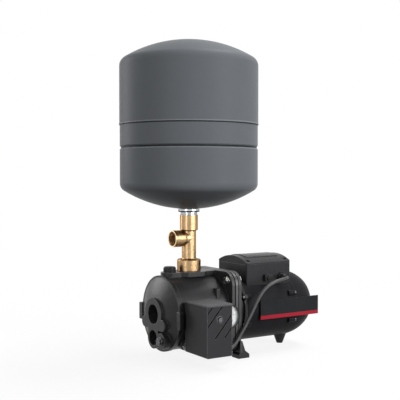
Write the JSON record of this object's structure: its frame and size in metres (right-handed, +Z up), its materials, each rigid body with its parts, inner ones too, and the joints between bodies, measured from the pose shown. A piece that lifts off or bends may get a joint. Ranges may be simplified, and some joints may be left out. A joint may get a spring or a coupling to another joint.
{
  "type": "deep well jet pump with pressure tank",
  "caption": "Jet pump for deep wells: cast housing with two pipe ports, motor, brass outlet tee, upright pressure tank, pressure switch and gauge.",
  "frame": {"origin": "on the floor, midway between the bolt holes of the motor bracket's two feet", "axes": "+Z up, +X along the shaft from the pipe ports towards the motor, -Y towards the pressure switch"},
  "size_m": [0.4201, 0.2946, 0.6336],
  "materials": {
    "cast_black": "semi-gloss black paint on rough castings",
    "cast_plate": "machined and painted",
    "motor_black": "satin black",
    "shield_cast": "die cast, painted satin black",
    "black_plastic": "moulded, fine grain",
    "switch_grey": "moulded, ribbed front",
    "soft_black": "moulded rubber",
    "cable_sheath": "extruded sheath",
    "zinc": "bright zinc plated",
    "dark_steel": "blackened steel",
    "bearing_steel": "ground",
    "steel_dark": "laminated sheet",
    "copper": "lacquered winding wire",
    "engineering_plastic": "glass filled, moulded",
    "white_plastic": "moulded",
    "carbon": "lapped",
    "brass": "cast and machined, bright",
    "tank_grey": "glossy grey enamel",
    "tank_fitting": "zinc plated",
    "band_black": "moulded, glossy",
    "dial_white": "printed dial",
    "clear": "clear"
  },
  "bodies": {
    "pump": {"pump_housing": "cast_black", "diffuser": "engineering_plastic", "housing_gasket": "soft_black", "seal_plate": "cast_plate", "flange_bolts": "zinc", "flange_nuts": "zinc", "seal_seat": "white_plastic", "motor_bracket": "cast_black", "motor_screws": "zinc", "motor_frame": "motor_black", "stator_core": "steel_dark", "windings": "copper", "end_shield": "shield_cast", "motor_foot": "soft_black", "bearing_outers": "bearing_steel", "fan_cover": "motor_black", "name_band": "band_black", "terminal_box": "black_plastic", "terminal_cover": "black_plastic", "terminal_screws": "zinc", "terminal_block": "white_plastic", "capacitor": "white_plastic", "cable_gland": "black_plastic", "spare_gland": "black_plastic", "outlet_tee": "brass", "tank_connection": "tank_fitting", "tank_lower_shell": "tank_grey", "tank_upper_shell": "tank_grey", "clinch_ring": "tank_fitting", "tank_diaphragm": "soft_black", "air_valve": "brass", "switch_nipple": "tank_fitting", "switch_base": "tank_fitting", "switch_membrane": "soft_black", "range_spring": "bearing_steel", "contact_block": "black_plastic", "switch_cover": "switch_grey", "cover_screw": "dark_steel", "switch_gland": "black_plastic", "switch_cable": "cable_sheath", "gauge_case": "black_plastic", "gauge_dial": "dial_white", "gauge_lens": "clear"},
    "filler": {"filler_plug": "black_plastic", "filler_seal": "soft_black"},
    "drain": {"drain_plug": "dark_steel"},
    "rotor": {"shaft": "bearing_steel", "rotor_core": "steel_dark", "impeller": "engineering_plastic", "impeller_nut": "brass", "seal_head": "carbon", "bearing_inners": "bearing_steel", "bearing_balls": "bearing_steel", "cooling_fan": "black_plastic"},
    "needle": {"gauge_needle": "carbon"},
    "valve_pin": {"valve_pin": "bearing_steel"},
    "valve_cap": {"valve_cap": "black_plastic"},
    "plunger": {"pressure_plunger": "bearing_steel"},
    "lever": {"switch_lever": "bearing_steel"}
  },
  "joints": [
    {"name": "shaft_spin", "type": "hinge", "parent": "pump", "child": "rotor", "pos_m": [0, 0, 0.09], "axis": [1, 0, 0], "continuous": true},
    {"name": "filler_plug_lift", "type": "slide", "parent": "pump", "child": "filler", "axis": [0, 0, 1], "range_m": [0, 0.03]},
    {"name": "drain_plug_pull", "type": "slide", "parent": "pump", "child": "drain", "axis": [-1, 0, 0], "range_m": [0, 0.03]},
    {"name": "valve_cap_lift", "type": "slide", "parent": "pump", "child": "valve_cap", "axis": [0, 0, 1], "range_m": [0, 0.02]},
    {"name": "valve_pin_press", "type": "slide", "parent": "pump", "child": "valve_pin", "axis": [0, 0, -1], "range_m": [0, 0.0015], "stiffness_N_per_m": 400},
    {"name": "needle_turn", "type": "hinge", "parent": "pump", "child": "needle", "pos_m": [-0.048, -0.1, 0.09], "axis": [0, 1, 0], "range_deg": [0, 270], "stiffness_Nm_per_rad": 0.002},
    {"name": "plunger_press", "type": "slide", "parent": "pump", "child": "plunger", "axis": [0, -1, 0], "range_m": [0, 0.0008], "stiffness_N_per_m": 300},
    {"name": "lever_rock", "type": "hinge", "parent": "pump", "child": "lever", "pos_m": [-0.1114, -0.095, 0.0615], "axis": [-1, 0, 0], "range_deg": [0, 2.4]}
  ],
  "couplings": [
    {"joint": "lever_rock", "follows": "plunger_press", "rad_per_m": 50}
  ]
}
